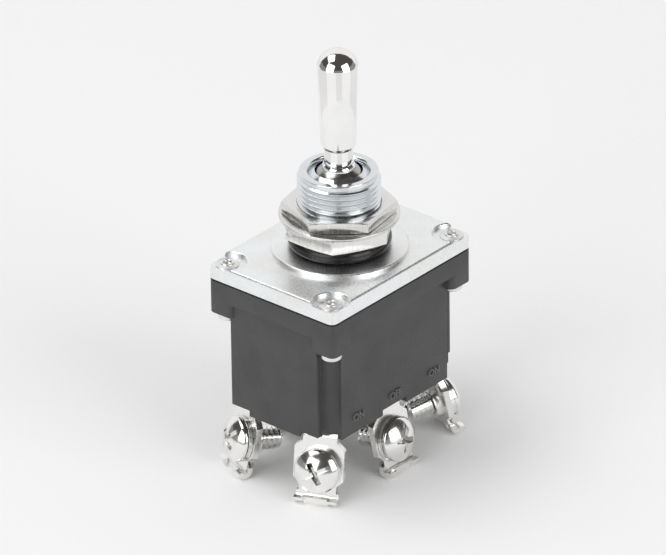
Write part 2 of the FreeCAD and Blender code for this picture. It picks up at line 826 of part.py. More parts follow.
# Outward direction of a splayed terminal in its own side view, and down along it
away = ("cos(terminal_splay)", "sin(terminal_splay)")


def terminal(label, x, y, turn, foot_in, hole_x, hole_y):
    """A bent strip: a foot in the case's channel, a splayed tab with a tapped
    collar for its screw, and two curled prongs at the tab's lower corners.

    Its own X points outward, with zero on the tab's outer face at the level
    of the case's underside.
    """
    body = new_body(label)
    outer = "(bend_radius + terminal_thickness)"
    knee_x = f"((-{outer} + bend_radius * {away[1]}) / {away[0]})"
    knee_z = "(-bend_radius)"
    tip_x = f"({tab_drop} * {away[1]})"
    tip_z = f"(-{tab_drop} * {away[0]})"
    curl_x = f"({tip_x} + curl_radius * {away[0]})"
    curl_z = f"({tip_z} + curl_radius * {away[1]})"
    curl_outer = "(curl_radius + terminal_thickness)"
    end_x = "(-cos(terminal_splay + curl_angle))"
    end_z = "(-sin(terminal_splay + curl_angle))"
    sketch = new_sketch(body, label + "_strip", "XZ_Plane")
    outline(sketch, [
        (f"-{foot_in}", "terminal_thickness"),
        (knee_x, "terminal_thickness", outer, -1),
        (f"{knee_x} + {outer} * {away[0]}", f"{knee_z} + {outer} * {away[1]}"),
        (tip_x, tip_z, "curl_radius", 1),
        (f"{curl_x} + curl_radius * {end_x}", f"{curl_z} + curl_radius * {end_z}"),
        (f"{curl_x} + {curl_outer} * {end_x}", f"{curl_z} + {curl_outer} * {end_z}", curl_outer, -1),
        (f"{tip_x} - terminal_thickness * {away[0]}", f"{tip_z} - terminal_thickness * {away[1]}"),
        (f"{knee_x} + bend_radius * {away[0]}", f"{knee_z} + bend_radius * {away[1]}",
         "bend_radius", 1),
        (knee_x, "0"),
        (f"-{foot_in}", "0"),
    ])
    pad(body, sketch, "tab_width", middle=True)
    # The neck and foot are narrower than the tab below the shoulders
    sketch = new_sketch(body, label + "_shoulders", "YZ_Plane")
    for s in ("", "-"):
        outline(sketch, [
            (f"{s}neck_width / 2", "2 * terminal_thickness"),
            (f"{s}neck_width / 2", "-shoulder_start"),
            (f"{s}tab_width / 2", "-shoulder_end"),
            (f"{s}(tab_width / 2 + 1)", "-shoulder_end"),
            (f"{s}(tab_width / 2 + 1)", "2 * terminal_thickness"),
        ])
    pocket(body, sketch, middle=True)
    # Between the prongs the strip ends where the curl turns up
    sketch = new_sketch(body, label + "_gap", "XY_Plane")
    gap_x = f"({curl_x} + {curl_outer} / 2 + 0.5)"
    rectangle(sketch, gap_x, "0", f"{curl_outer} + 1", "tab_width - 2 * prong_width")
    pocket(body, sketch, middle=True)
    # Collar and tapped hole square to the splayed tab
    for part, radius in (("collar", "collar_outer"), ("tapping", "screw_radius + screw_clearance")):
        sketch = new_sketch(body, label + "_" + part, "YZ_Plane")
        sketch.AttachmentOffset = FreeCAD.Placement(
            FreeCAD.Vector(), FreeCAD.Rotation(FreeCAD.Vector(1, 0, 0), -num("terminal_splay"))
        )
        bind(sketch, "AttachmentOffset.Rotation.Angle", "-terminal_splay")
        circle(sketch, "0", "-screw_drop", radius)
        if part == "collar":
            pad(body, sketch, "terminal_thickness + collar_length", down=True)
        else:
            pocket(body, sketch, middle=True)
    # Hole in the foot for the rivet
    sketch = new_sketch(body, label + "_rivet_hole", "XY_Plane")
    circle(sketch, hole_x, hole_y, "shank_radius")
    pocket(body, sketch, "terminal_thickness", up=True)
    body.Placement.Rotation = FreeCAD.Rotation(FreeCAD.Vector(0, 0, 1), turn)
    place(body, x, y, case_base)


def on_tab(body, x, y, turn, outward):
    """Seats a turned piece on a tab, its own Z along the screw's axis."""
    spin = FreeCAD.Rotation(FreeCAD.Vector(0, 0, 1), turn)
    lean = FreeCAD.Rotation(FreeCAD.Vector(0, 1, 0), 90 - num("terminal_splay"))
    body.Placement.Rotation = spin.multiply(lean)
    reach = f"(screw_drop * {away[1]})"
    place(
        body,
        f"{x} + {reach} * {outward[0]}",
        f"{y} + {reach} * {outward[1]}",
        f"{case_base} - screw_drop * {away[0]}",
    )


def terminal_screw(label, x, y, turn, outward):
    """A binding-head screw with a slot and a cross recess."""
    face = "(clamp_washer_thickness + 2 * face_gap)"
    dome = "((screw_head ^ 2 + screw_dome ^ 2) / (2 * screw_dome))"
    body = turned(label, [
        ("0", "-screw_reach"),
        ("0.8 * screw_radius", "-screw_reach"),
        ("screw_radius", "-screw_reach + 0.3 * screw_radius"),
        ("screw_radius", face),
        ("screw_head", face),
        ("screw_head", f"{face} + screw_rim", dome, 1),
        ("0", f"{face} + screw_rim + screw_dome"),
    ])
    sketch = new_sketch(body, label + "_recess", "XY_Plane", f"{face} + screw_rim + screw_dome")
    rectangle(sketch, "0", "0", "slot_width", "(2 * screw_head + 1)")
    pocket(body, sketch, "slot_depth")
    sketch = new_sketch(body, label + "_cross", "XY_Plane", f"{face} + screw_rim + screw_dome")
    rectangle(sketch, "0", "0", "cross_length", "slot_width")
    pocket(body, sketch, "slot_depth + 0.3 * screw_dome")
    on_tab(body, x, y, turn, outward)


def clamp_washer(label, x, y, turn, outward):
    """The washer that a terminal screw carries under its head."""
    body = turned(label, [
        ("screw_radius + screw_clearance", "face_gap"),
        ("clamp_washer_radius", "face_gap"),
        ("clamp_washer_radius", "face_gap + clamp_washer_thickness"),
        ("screw_radius + screw_clearance", "face_gap + clamp_washer_thickness"),
    ])
    on_tab(body, x, y, turn, outward)


# Each pole has a common terminal on the case's long side, with a rocking
# contact inside, and a fixed contact and terminal at each end.
for pole, y_sign in (("a", "-"), ("b", "")):
    offset = y_sign + pole_offset
    plunger("plunger_" + pole, offset)
    plunger_spring("plunger_spring_" + pole, offset)
    rocker("rocker_" + pole, offset)
    rocker_support("rocker_support_" + pole, offset)
    support_rivet("support_rivet_" + pole, offset)
    side = -1 if y_sign else 1
    for end, x_sign, along in (("left", "-", -1), ("right", "", 1)):
        where = f"_{pole}_{end}"
        x = f"{x_sign}end_tab_reach"
        y = y_sign + terminal_row
        fan = side * num("terminal_fan")
        turn = 180 - fan if x_sign else fan
        out = (f"({along} * cos(terminal_fan))", f"({side} * sin(terminal_fan))")
        contact_rivet("contact_rivet" + where, f"{x_sign}contact_offset", offset)
        foot = f"({fan_reach} + foot_margin)"
        terminal("terminal" + where, x, y, turn, foot, "-" + fan_reach, "0")
        terminal_screw("terminal_screw" + where, x, y, turn, out)
        clamp_washer("screw_washer" + where, x, y, turn, out)
        front = "front" if y_sign else "back"
        corner_rivet(f"corner_rivet_{front}_{end}", f"{x_sign}{rivet_x}", f"{y_sign}{rivet_y}")
    where = f"_{pole}_middle"
    y = y_sign + middle_tab_reach
    turn = 90 * side
    out = (0, side)
    foot = f"({middle_tab_reach} - {middle_foot_in})"
    terminal("terminal" + where, "0", y, turn, foot, f"{pole_offset} - {middle_tab_reach}", "0")
    terminal_screw("terminal_screw" + where, "0", y, turn, out)
    clamp_washer("screw_washer" + where, "0", y, turn, out)

doc.recompute()

# Every object has to be sound before any file is written
pieces = [
    obj for obj in doc.Objects
    if obj.TypeId in ("PartDesign::Body", "Part::Feature")
]
for obj in doc.Objects:
    if "Invalid" in obj.State or "Error" in obj.State:
        raise RuntimeError(obj.Label + " failed: " + ", ".join(obj.State))
for piece in pieces:
    if piece.Shape.isNull() or not piece.Shape.isValid() or not piece.Shape.Solids:
        raise RuntimeError(piece.Label + " has no sound solid")

os.makedirs("parts", exist_ok=True)
for piece in pieces:
    piece.Shape.exportStep(f"parts/{piece.Label}.step")
    print(piece.Label, len(piece.Shape.Solids), round(piece.Shape.Volume, 2))
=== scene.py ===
import json
import math
import bmesh
import bpy
from mathutils import Matrix, Vector


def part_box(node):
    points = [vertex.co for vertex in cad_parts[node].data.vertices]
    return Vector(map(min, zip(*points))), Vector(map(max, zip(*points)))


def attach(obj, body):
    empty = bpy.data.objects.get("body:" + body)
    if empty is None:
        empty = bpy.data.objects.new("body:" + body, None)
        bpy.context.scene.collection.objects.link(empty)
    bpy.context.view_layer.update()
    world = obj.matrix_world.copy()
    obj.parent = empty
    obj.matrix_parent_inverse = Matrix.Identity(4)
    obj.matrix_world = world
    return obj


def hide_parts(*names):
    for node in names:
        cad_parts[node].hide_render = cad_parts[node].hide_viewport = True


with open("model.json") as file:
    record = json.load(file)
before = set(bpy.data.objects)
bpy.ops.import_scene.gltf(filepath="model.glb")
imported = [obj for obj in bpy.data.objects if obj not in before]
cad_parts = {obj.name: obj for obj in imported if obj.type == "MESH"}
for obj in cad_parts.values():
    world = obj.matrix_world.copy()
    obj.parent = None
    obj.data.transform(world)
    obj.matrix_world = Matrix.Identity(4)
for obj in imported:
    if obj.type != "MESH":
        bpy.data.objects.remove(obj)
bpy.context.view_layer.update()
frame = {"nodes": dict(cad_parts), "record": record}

nodes = frame["nodes"]
record = frame["record"]
mm = 0.001  # sizes below are in millimetres and angles in degrees, unless a note says otherwise
slotOf = {part["node"]: part["material_slot"] for part in record["subparts"]}
bodyOf = {node: body for body, held in record["behaviour"]["bodies"].items() for node in held}
screwMounts = [m for m in record["mounts"] if m["name"].startswith("terminal_")]
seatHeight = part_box("cover")[0].z / mm  # the cover's lower face, level with the bushing's foot
print("frame loaded:", len(nodes), "nodes")


# Finishes. Patterns read Object coordinates, so they stay put on every piece.
def newFinish(name, colour, metal, rough):
    finish = bpy.data.materials.new(name)
    finish.use_nodes = True
    shader = finish.node_tree.nodes["Principled BSDF"]
    shader.inputs["Base Color"].default_value = (*colour, 1)
    shader.inputs["Metallic"].default_value = metal
    shader.inputs["Roughness"].default_value = rough
    return finish, finish.node_tree, shader


def grain(tree, size, stretch=(1, 1, 1), detail=3.0, turn=(0, 0, 0)):
    # size is the grain's width in millimetres
    place = tree.nodes.new("ShaderNodeTexCoord")
    mapping = tree.nodes.new("ShaderNodeMapping")
    mapping.inputs["Scale"].default_value = stretch
    mapping.inputs["Rotation"].default_value = turn
    noise = tree.nodes.new("ShaderNodeTexNoise")
    noise.inputs["Scale"].default_value = 1 / (size * mm)
    noise.inputs["Detail"].default_value = detail
    tree.links.new(place.outputs["Object"], mapping.inputs["Vector"])
    tree.links.new(mapping.outputs["Vector"], noise.inputs["Vector"])
    return noise.outputs["Fac"]


def ranged(tree, value, low, high, start=0.3, stop=0.7):
    spread = tree.nodes.new("ShaderNodeMapRange")
    spread.inputs["From Min"].default_value = start
    spread.inputs["From Max"].default_value = stop
    spread.inputs["To Min"].default_value = low
    spread.inputs["To Max"].default_value = high
    tree.links.new(value, spread.inputs["Value"])
    return spread.outputs["Result"]


def blended(tree, value, first, second):
    ramp = tree.nodes.new("ShaderNodeValToRGB")
    ramp.color_ramp.elements[0].position = 0.32
    ramp.color_ramp.elements[0].color = (*first, 1)
    ramp.color_ramp.elements[1].position = 0.68
    ramp.color_ramp.elements[1].color = (*second, 1)
    tree.links.new(value, ramp.inputs["Fac"])
    return ramp.outputs["Color"]


def raised(tree, shader, value, depth):
    bump = tree.nodes.new("ShaderNodeBump")
    bump.inputs["Distance"].default_value = depth * mm
    tree.links.new(value, bump.inputs["Height"])
    tree.links.new(bump.outputs["Normal"], shader.inputs["Normal"])


def platedMetal(name, colour, rough, scuffed, cloud=5.0):
    # plated metal: cloudy gloss, a slight drift of colour and hair-fine wiping marks
    finish, tree, shader = newFinish(name, colour, 1.0, rough)
    clouds = grain(tree, cloud, detail=4)
    wipes = grain(tree, 0.35, stretch=(1, 1, 0.12), detail=5, turn=(0.2, 0.1, 0))
    tree.links.new(ranged(tree, clouds, rough, scuffed), shader.inputs["Roughness"])
    darker = tuple(0.93 * c for c in colour)
    tree.links.new(blended(tree, clouds, darker, colour), shader.inputs["Base Color"])
    raised(tree, shader, wipes, 0.0006)
    return finish


def brushedMetal(name, colour, rough, lines=0.09):
    # milled flats with upright tool lines, and turned rings on the faces that look up
    finish, tree, shader = newFinish(name, colour, 1.0, rough)
    upright = grain(tree, lines, stretch=(1, 1, 0.03), detail=4)
    place = tree.nodes.new("ShaderNodeTexCoord")
    flat = tree.nodes.new("ShaderNodeVectorMath")
    flat.operation = "MULTIPLY"
    flat.inputs[1].default_value = (1, 1, 0)
    reach = tree.nodes.new("ShaderNodeVectorMath")
    reach.operation = "LENGTH"
    rings = tree.nodes.new("ShaderNodeTexNoise")
    rings.noise_dimensions = "1D"
    rings.inputs["Scale"].default_value = 1 / (lines * mm)
    rings.inputs["Detail"].default_value = 4
    tree.links.new(place.outputs["Object"], flat.inputs[0])
    tree.links.new(flat.outputs["Vector"], reach.inputs[0])
    tree.links.new(reach.outputs["Value"], rings.inputs["W"])
    facing = tree.nodes.new("ShaderNodeNewGeometry")
    split = tree.nodes.new("ShaderNodeSeparateXYZ")
    tree.links.new(facing.outputs["True Normal"], split.inputs["Vector"])
    upward = tree.nodes.new("ShaderNodeMath")
    upward.operation = "ABSOLUTE"
    tree.links.new(split.outputs["Z"], upward.inputs[0])
    chosen = tree.nodes.new("ShaderNodeMix")
    tree.links.new(upward.outputs["Value"], chosen.inputs["Factor"])
    tree.links.new(upright, chosen.inputs["A"])
    tree.links.new(rings.outputs["Fac"], chosen.inputs["B"])
    lined = chosen.outputs["Result"]
    tree.links.new(ranged(tree, lined, rough - 0.08, rough + 0.1), shader.inputs["Roughness"])
    darker = tuple(0.8 * c for c in colour)
    tree.links.new(blended(tree, lined, darker, colour), shader.inputs["Base Color"])
    raised(tree, shader, lined, 0.004)
    return finish


def zincPlate(name, colour):
    # pressed sheet: a clear bluish passivate that pools unevenly over a sparkling fine grain
    finish, tree, shader = newFinish(name, colour, 1.0, 0.3)
    pools = grain(tree, 5.0, detail=5)
    pits = grain(tree, 0.14, detail=3)
    warm = (colour[0] * 0.95, colour[1] * 0.93, colour[2] * 0.9)
    tree.links.new(blended(tree, pools, colour, warm), shader.inputs["Base Color"])
    tree.links.new(ranged(tree, pits, 0.2, 0.42), shader.inputs["Roughness"])
    raised(tree, shader, pits, 0.026)
    return finish


def mouldedPlastic(name, colour, rough):
    finish, tree, shader = newFinish(name, colour, 0.0, rough)
    drift = grain(tree, 6.0, detail=3)
    skin = grain(tree, 0.25, detail=3)
    paler = tuple(min(1.0, 1.25 * c + 0.002) for c in colour)
    tree.links.new(blended(tree, drift, colour, paler), shader.inputs["Base Color"])
    tree.links.new(ranged(tree, skin, rough - 0.06, rough + 0.08), shader.inputs["Roughness"])
    raised(tree, shader, skin, 0.008)
    return finish


def glossyRubber(name, colour):
    finish, tree, shader = newFinish(name, colour, 0.0, 0.22)
    smears = grain(tree, 1.2, stretch=(1, 1, 3), detail=3)
    tree.links.new(ranged(tree, smears, 0.14, 0.34), shader.inputs["Roughness"])
    worn = blended(tree, smears, colour, (0.014, 0.014, 0.015))
    tree.links.new(worn, shader.inputs["Base Color"])
    raised(tree, shader, smears, 0.01)
    return finish


def fibreSheet(name, colour):
    finish, tree, shader = newFinish(name, colour, 0.0, 0.8)
    threads = grain(tree, 0.2, stretch=(1, 1, 4), detail=6)
    woven = blended(tree, threads, colour, (0.03, 0.028, 0.026))
    tree.links.new(woven, shader.inputs["Base Color"])
    raised(tree, shader, threads, 0.03)
    return finish


finishes = {
    "phenolic": mouldedPlastic("mouldedCase", (0.045, 0.045, 0.046), 0.5),
    "zinc_steel": zincPlate("zincPlate", (0.925, 0.95, 0.965)),
    "fibre": fibreSheet("gasketFibre", (0.012, 0.012, 0.012)),
    "bushing_nickel": platedMetal("barrelPlate", (0.80, 0.83, 0.85), 0.1, 0.22, cloud=2.0),
    "rubber": glossyRubber("sealRubber", (0.006, 0.006, 0.006)),
    "nut_nickel": brushedMetal("nutPlate", (0.88, 0.87, 0.855), 0.2),
    "washer_steel": brushedMetal("washerPlate", (0.84, 0.83, 0.815), 0.2, lines=0.12),
    "lever_nickel": platedMetal("leverPlate", (0.965, 0.96, 0.952), 0.06, 0.12),
    # painted shade: a darker plate for the lever's ball down in the bushing's mouth, and for the
    # bore and the foot of the bushing's thread, where shade falls
    "ball": platedMetal("shadedRecessPlate", (0.46, 0.465, 0.44), 0.16, 0.3, cloud=0.9),
    "pin_steel": platedMetal("groundSteel", (0.56, 0.56, 0.57), 0.2, 0.32),
    "nylon": mouldedPlastic("naturalNylon", (0.72, 0.69, 0.6), 0.42),
    "plunger_brass": platedMetal("turnedBrass", (0.78, 0.6, 0.3), 0.2, 0.32),
    "spring_steel": platedMetal("springWire", (0.5, 0.5, 0.52), 0.25, 0.38),
    "contact_copper": platedMetal("copperStrip", (0.82, 0.46, 0.3), 0.24, 0.4),
    "terminal_brass": platedMetal("plainBrass", (0.76, 0.6, 0.32), 0.25, 0.4),
    "contact_silver": platedMetal("silverFace", (0.8, 0.79, 0.76), 0.2, 0.34),
    "rivet_nickel": platedMetal("rivetPlate", (0.86, 0.86, 0.85), 0.3, 0.42, cloud=1.5),
    "terminal_nickel": platedMetal("terminalPlate", (0.94, 0.935, 0.92), 0.16, 0.3, cloud=2.5),
    "screw_nickel": platedMetal("screwPlate", (0.92, 0.915, 0.9), 0.09, 0.2, cloud=1.8),
}
for name, node in nodes.items():
    for holder in node.material_slots:
        holder.material = finishes[slotOf[name]]
print("finishes made:", len(finishes))


# Helpers that make, finish and hand over a piece
def addPiece(name, mesh, slot, body, *standsFor):
    piece = bpy.data.objects.new(name, mesh)
    bpy.context.scene.collection.objects.link(piece)
    if not mesh.materials:
        mesh.materials.append(finishes[slot])
    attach(piece, body)
    if standsFor:
        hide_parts(*standsFor)
    return piece


def crispSmooth(mesh, angle):
    # smooth shading, with the edges sharper than the angle kept crisp
    mesh.shade_smooth()
    mesh.set_sharp_from_angle(angle=math.radians(angle))


def meshFromForm(form, name):
    mesh = bpy.data.meshes.new(name)
    form.to_mesh(mesh)
    form.free()
    return mesh


def turnedMesh(name, outline, steps=96):
    # outline holds (radius, height) in millimetres, from the foot's axis or bore to the top's
    form = bmesh.new()
    rings = []
    closed = outline[0][0] > 0 and outline[-1][0] > 0
    for radius, height in outline:
        if radius == 0:
            rings.append([form.verts.new((0, 0, height * mm))])
            continue
        rings.append([
            form.verts.new((
                radius * mm * math.cos(2 * math.pi * k / steps),
                radius * mm * math.sin(2 * math.pi * k / steps),
                height * mm,
            ))
            for k in range(steps)
        ])
    pairs = list(zip(rings, rings[1:]))
    if closed:
        pairs.append((rings[-1], rings[0]))
    for low, high in pairs:
        for k in range(steps):
            after = (k + 1) % steps
            if len(low) == 1:
                form.faces.new((low[0], high[after], high[k]))
            elif len(high) == 1:
                form.faces.new((low[k], low[after], high[0]))
            else:
                form.faces.new((low[k], low[after], high[after], high[k]))
    bmesh.ops.recalc_face_normals(form, faces=form.faces)
    return meshFromForm(form, name)


def arcPoints(centre, radius, start, stop, count):
    # points on an arc in the (radius, height) plane, angles in degrees
    return [
        (
            centre[0] + radius * math.cos(math.radians(start + (stop - start) * k / count)),
            centre[1] + radius * math.sin(math.radians(start + (stop - start) * k / count)),
        )
        for k in range(count + 1)
    ]


def plainMesh(maker, name):
    # what the modifiers give, as a mesh of its own; the maker object goes
    bpy.context.view_layer.update()
    depsgraph = bpy.context.evaluated_depsgraph_get()
    mesh = bpy.data.meshes.new_from_object(maker.evaluated_get(depsgraph))
    mesh.name = name
    for modifier in list(maker.modifiers):
        maker.modifiers.remove(modifier)
    bpy.data.objects.remove(maker)
    return mesh


def edgedCopy(nodeName, edge, steps=2, angle=30, stamped=None):
    # the CAD node's own form, less what is stamped out, with its edges broken by edge millimetres
    form = bmesh.new()
    form.from_mesh(nodes[nodeName].data)
    bmesh.ops.remove_doubles(form, verts=form.verts, dist=0.0005 * mm)
    bmesh.ops.dissolve_limit(
        form, angle_limit=math.radians(0.5), verts=form.verts, edges=form.edges
    )
    mesh = meshFromForm(form, nodeName + "Form")
    mesh.shade_smooth()
    maker = bpy.data.objects.new(nodeName + "Maker", mesh)
    bpy.context.scene.collection.objects.link(maker)
    if stamped:
        press = bpy.data.objects.new("press", stamped)
        bpy.context.scene.collection.objects.link(press)
        cut = maker.modifiers.new("cut", "BOOLEAN")
        cut.object = press
        cut.solver = "EXACT"
        cut.use_self = True  # the press is three solids that touch
    if edge:
        bevel = maker.modifiers.new("edge", "BEVEL")
        bevel.width = edge * mm
        bevel.segments = steps
        bevel.limit_method = "ANGLE"
        bevel.angle_limit = math.radians(angle)
        bevel.harden_normals = True
    mesh = plainMesh(maker, nodeName + "Edged")
    if stamped:
        bpy.data.objects.remove(press)
        crispSmooth(mesh, 28)
    mesh.materials.clear()
    return mesh


class Tree:
    # a node tree that is written as nested calls
    def __init__(self, name):
        self.group = bpy.data.node_groups.new(name, "GeometryNodeTree")
        self.sockets = {}
        self.group.interface.new_socket(
            "Geometry", in_out="OUTPUT", socket_type="NodeSocketGeometry"
        )
        self.entry = self.group.nodes.new("NodeGroupInput")
        self.leave = self.group.nodes.new("NodeGroupOutput")

    def value(self, name, kind="Float"):
        made = self.group.interface.new_socket(
            name, in_out="INPUT", socket_type="NodeSocket" + kind
        )
        self.sockets[name] = made.identifier
        return self.entry.outputs[name]

    def node(self, kind, settings=None, **inputs):
        made = self.group.nodes.new(kind)
        for key, setting in (settings or {}).items():
            setattr(made, key, setting)
        for key, value in inputs.items():
            socket = self.find(made, key)
            for item in value if isinstance(value, list) else [value]:
                if isinstance(item, bpy.types.NodeSocket):
                    self.group.links.new(item, socket)
                else:
                    socket.default_value = item
        return made.outputs[0]

    def find(self, made, key):
        # the first socket of that name that is in use, or the numbered one
        if key.startswith("in"):
            return made.inputs[int(key[2:])]
        label = key.replace("_", " ").lower()
        for socket in made.inputs:
            if socket.name.lower() == label and socket.enabled:
                return socket
        raise KeyError(f"{made.bl_idname} has no input {key}")

    def math(self, operation, first, second=0.0):
        return self.node("ShaderNodeMath", {"operation": operation}, in0=first, in1=second)

    def xyz(self, x=0.0, y=0.0, z=0.0):
        return self.node("ShaderNodeCombineXYZ", X=x, Y=y, Z=z)

    def finish(self, geometry):
        self.group.links.new(geometry, self.leave.inputs[0])

    def run(self, name, mesh, values):
        maker = bpy.data.objects.new(name + "Maker", mesh)
        bpy.context.scene.collection.objects.link(maker)
        modifier = maker.modifiers.new("build", "NODES")
        modifier.node_group = self.group
        for key, value in values.items():
            modifier[self.sockets[key]] = value
        return plainMesh(maker, name)


# The ridge's section and how it fades, as shares of the pitch or of the thread's depth
threadForm = {
    "footWidth": 0.82,
    "crestWidth": 0.12,
    "height": 1.04,
    "sunk": -0.48,
    "fade": 0.6,
    "steps": 48,
}


def threadRidge(tree, form):
    # a truncated ridge along a helix, fading out at both ends
    radius, depth = tree.value("threadRadius"), tree.value("threadDepth")
    pitch, length = tree.value("pitch"), tree.value("threadLength")
    root = tree.math("SUBTRACT", radius, depth)
    helix = tree.node(
        "GeometryNodeCurveSpiral", Resolution=form["steps"],
        Rotations=tree.math("DIVIDE", length, pitch),
        Start_Radius=root, End_Radius=root, Height=length,
    )
    level = tree.node("GeometryNodeSetCurveNormal", {"mode": "Z_UP"}, Curve=helix)
    along = tree.node("GeometryNodeSplineParameter")
    ends = tree.math("MINIMUM", along, tree.math("SUBTRACT", 1.0, along))
    turnShare = tree.math("DIVIDE", tree.math("MULTIPLY", pitch, form["fade"]), length)
    fade = tree.node(
        "ShaderNodeMath", {"operation": "DIVIDE", "use_clamp": True}, in0=ends, in1=turnShare
    )
    faded = tree.node("GeometryNodeSetCurveRadius", Curve=level, Radius=fade)
    ridge = tree.node(
        "GeometryNodeCurvePrimitiveQuadrilateral", {"mode": "TRAPEZOID"},
        Height=tree.math("MULTIPLY", depth, form["height"]),
        Bottom_Width=tree.math("MULTIPLY", pitch, form["footWidth"]),
        Top_Width=tree.math("MULTIPLY", pitch, form["crestWidth"]),
        Offset=0.0,
    )
    outward = tree.node(
        "GeometryNodeTransform", Geometry=ridge, Rotation=(0, 0, math.radians(90)),
        Translation=tree.xyz(tree.math("MULTIPLY", depth, form["sunk"])),
    )
    swept = tree.node(
        "GeometryNodeCurveToMesh", Curve=faded, Profile_Curve=outward, Fill_Caps=True,
        **({"Scale": fade} if "Scale" in scaleSockets else {}),
    )
    return tree.node(
        "GeometryNodeTransform", Geometry=swept,
        Translation=tree.xyz(0.0, 0.0, tree.value("threadFoot")),
    )


# Some Blender versions take the sweep's scale at the sweep, others at the curve
probe = bpy.data.node_groups.new("probe", "GeometryNodeTree")
scaleSockets = [s.name for s in probe.nodes.new("GeometryNodeCurveToMesh").inputs]
bpy.data.node_groups.remove(probe)
print("helpers ready")


# Bushing: a turned blank with its thread as one helical ridge
bushingSizes = {
    "threadRadius": 5.953,
    "threadDepth": 0.52,
    "pitch": 25.4 / 32,
    "threadFoot": 5.4,
    "threadTop": 14.3,
    "flangeRadius": 8.8,
    "flangeThickness": 1.15,
    "flangeEdge": 0.15,
    "lipRadius": 5.62,
    "height": 14.75,
    "bore": 4.41,
    "mouthRound": 0.35,
    "seatRadius": 3.42,  # the domed ring in the mouth that holds the ball down
    "seatTop": 0.1,
    "seatFoot": 0.9,
    "seatDrop": 0.75,
    "seatCurve": 6.55,
    "seatSink": 0.74,
    "seatTurn": (47.6, 58.6),
    "slotWidth": 1.7,
    "slotLength": 10.6,
    "slotTop": 12.45,
}


def bushingPiece(sizes):
    root, edge = sizes["threadRadius"] - sizes["threadDepth"], sizes["flangeEdge"]
    blank = turnedMesh("bushingBlank", [
        (sizes["bore"], 0),
        (sizes["flangeRadius"] - edge, 0),
        (sizes["flangeRadius"], edge),
        (sizes["flangeRadius"], sizes["flangeThickness"] - edge),
        (sizes["flangeRadius"] - edge, sizes["flangeThickness"]),
        (root, sizes["flangeThickness"]),
        (root, sizes["threadTop"] - 0.42),
        (sizes["lipRadius"] - 0.08, sizes["threadTop"] - 0.36),
        (sizes["lipRadius"], sizes["threadTop"] - 0.26),
        (sizes["lipRadius"], sizes["height"] - 0.14),
        (sizes["lipRadius"] - 0.05, sizes["height"] - 0.04),
        (sizes["lipRadius"] - 0.14, sizes["height"]),
        *arcPoints(
            (sizes["bore"] + sizes["mouthRound"], sizes["height"] - sizes["mouthRound"]),
            sizes["mouthRound"], 90, 180, 5,
        ),
        (sizes["bore"], sizes["height"] - sizes["seatDrop"]),
        *arcPoints(
            (0, sizes["height"] - sizes["seatDrop"] - sizes["seatCurve"] * sizes["seatSink"]),
            sizes["seatCurve"], *sizes["seatTurn"], 6,
        ),
        (sizes["seatRadius"], sizes["height"] - sizes["seatTop"]),
        (sizes["bore"], sizes["height"] - sizes["seatFoot"]),
    ])
    tree = Tree("threadedBarrel")
    body = tree.value("Geometry", "Geometry")
    slot, middle = tree.value("slotSize", "Vector"), tree.value("slotMiddle", "Vector")
    seat, metal = tree.value("seat", "Vector"), tree.value("metal", "Material")
    cutter = tree.node(
        "GeometryNodeTransform", Geometry=tree.node("GeometryNodeMeshCube", Size=slot),
        Translation=middle,
    )
    slotted = tree.node(
        "GeometryNodeMeshBoolean", {"operation": "DIFFERENCE"}, Mesh_1=body, Mesh_2=cutter
    )
    ridge = threadRidge(tree, threadForm)
    joined = tree.node("GeometryNodeJoinGeometry", Geometry=[slotted, ridge])
    placed = tree.node("GeometryNodeTransform", Geometry=joined, Translation=seat)
    whole = tree.node("GeometryNodeRealizeInstances", Geometry=placed)
    tree.finish(tree.node("GeometryNodeSetMaterial", Geometry=whole, Material=metal))
    mesh = tree.run("bushingMesh", blank, {
        "threadRadius": sizes["threadRadius"] * mm,
        "threadDepth": sizes["threadDepth"] * mm,
        "pitch": sizes["pitch"] * mm,
        "threadLength": (sizes["threadTop"] - sizes["threadFoot"]) * mm,
        "threadFoot": sizes["threadFoot"] * mm,
        "slotSize": (sizes["slotWidth"] * mm, sizes["slotLength"] * mm, sizes["slotTop"] * mm),
        "slotMiddle": (0, 0, (sizes["slotTop"] / 2 - 0.01) * mm),
        "seat": (0, 0, seatHeight * mm),
        "metal": finishes["bushing_nickel"],
    })
    # painted shade: the bore and the thread's root between the ridges take the darker plate
    mesh.materials.append(finishes["ball"])
    shadedRootSlot = len(mesh.materials) - 1
    flangeTop = (seatHeight + sizes["flangeThickness"] + 0.01) * mm
    lipFoot = (seatHeight + sizes["threadTop"] - 0.4) * mm
    for face in mesh.polygons:
        if flangeTop < face.center.z < lipFoot and face.center.xy.length < (root + 0.02) * mm:
            face.material_index = shadedRootSlot
    crispSmooth(mesh, 34)
    return addPiece("threadedBushing", mesh, "bushing_nickel", "switch", "bushing")


bushing = bushingPiece(bushingSizes)
print("bushing:", len(bushing.data.polygons), "faces")


# Lever: ball, collar, neck and the tapered bat, turned with soft corners
leverSizes = {
    "tailRadius": 1.4,
    "tailEnd": -6.2,
    "ball": 4.35,
    "ballHeight": 11.6,
    "collar": 2.4,
    "neck": 2.08,
    "neckStart": 15.9,
    "neckTop": 18.36,
    "shoulder": 0.5,
    "batFoot": 2.5,
    "batRadius": 2.96,
    "batTop": 31.4,
    "top": 33.6,
}


